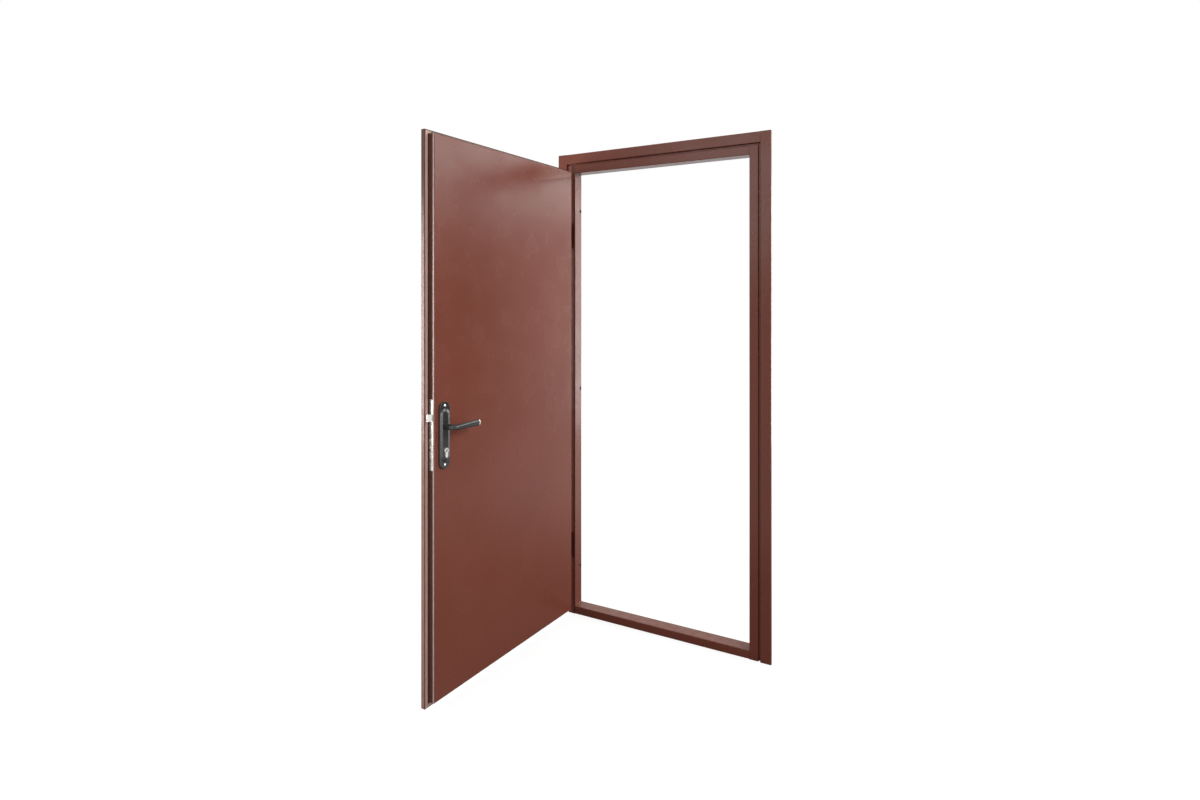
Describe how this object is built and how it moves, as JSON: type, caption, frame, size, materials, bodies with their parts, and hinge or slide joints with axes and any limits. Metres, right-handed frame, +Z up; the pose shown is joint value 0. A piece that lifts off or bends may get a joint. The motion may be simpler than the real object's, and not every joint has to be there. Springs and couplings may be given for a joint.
{
  "type": "steel utility door",
  "caption": "Hinged steel utility door standing open in its bent-sheet frame, with a low threshold, weld-on hinges, lever handles on long plates and a key-operated mortise lock.",
  "frame": {"origin": "middle of the threshold's underside, which stands on the floor of the wall opening", "axes": "+X to the right seen from the side that the leaf opens to, +Y through the doorway away from that side, +Z up"},
  "size_m": [1.0364, 0.8909, 2.05],
  "materials": {
    "brown_paint": "semi-gloss brown powder coat",
    "black_handle": "satin black",
    "zinc_steel": "zinc plated",
    "nickel": "nickel plated, satin",
    "seal_rubber": "matt beige-brown"
  },
  "bodies": {
    "frame": {"hinge_jamb": "brown_paint", "lock_jamb": "brown_paint", "head": "brown_paint", "threshold": "brown_paint", "strike_plate": "zinc_steel", "upper_hinge_frame_half": "brown_paint", "lower_hinge_frame_half": "brown_paint", "upper_hinge_pin": "zinc_steel", "lower_hinge_pin": "zinc_steel"},
    "leaf": {"leaf_outer_skin": "brown_paint", "leaf_inner_tray": "brown_paint", "leaf_seal": "seal_rubber", "upper_hinge_leaf_half": "brown_paint", "lower_hinge_leaf_half": "brown_paint", "lock_case": "zinc_steel", "lock_forend": "zinc_steel", "forend_screws": "nickel", "lock_cylinder": "nickel", "cylinder_screw": "nickel", "inner_plate": "black_handle", "outer_plate": "black_handle", "plate_screws": "nickel"},
    "lever": {"inner_lever": "black_handle", "outer_lever": "black_handle", "spindle": "zinc_steel"},
    "latch": {"latch_bolt": "nickel"},
    "plug": {"inner_plug": "nickel", "outer_plug": "nickel", "cylinder_cam": "zinc_steel"},
    "deadbolts": {"lower_deadbolt": "nickel", "middle_deadbolt": "nickel", "upper_deadbolt": "nickel", "bolt_carrier": "zinc_steel"}
  },
  "joints": [
    {"name": "leaf_swing", "type": "hinge", "parent": "frame", "child": "leaf", "pos_m": [-0.421, -0.0405, 0], "axis": [0, 0, 1], "range_deg": [-65, 95]},
    {"name": "lever_turn", "type": "hinge", "parent": "leaf", "child": "lever", "pos_m": [-0.46552, -0.80754, 0.967], "axis": [-0.9962, 0.0872, 0], "range_deg": [0, 45], "stiffness_Nm_per_rad": 0.8, "springref_deg": -22.92},
    {"name": "latch_slide", "type": "slide", "parent": "leaf", "child": "latch", "axis": [0.0872, 0.9962, 0], "range_m": [0, 0.012]},
    {"name": "key_turn", "type": "hinge", "parent": "leaf", "child": "plug", "pos_m": [-0.46552, -0.80754, 0.886], "axis": [0.9962, -0.0872, 0], "range_deg": [0, 360]},
    {"name": "deadbolt_throw", "type": "slide", "parent": "leaf", "child": "deadbolts", "axis": [-0.0872, -0.9962, 0], "range_m": [0, 0.014]}
  ],
  "couplings": [
    {"joint": "latch_slide", "follows": "lever_turn", "m_per_rad": 0.01527},
    {"joint": "key_turn", "follows": "deadbolt_throw", "rad_per_m": 448.79}
  ]
}
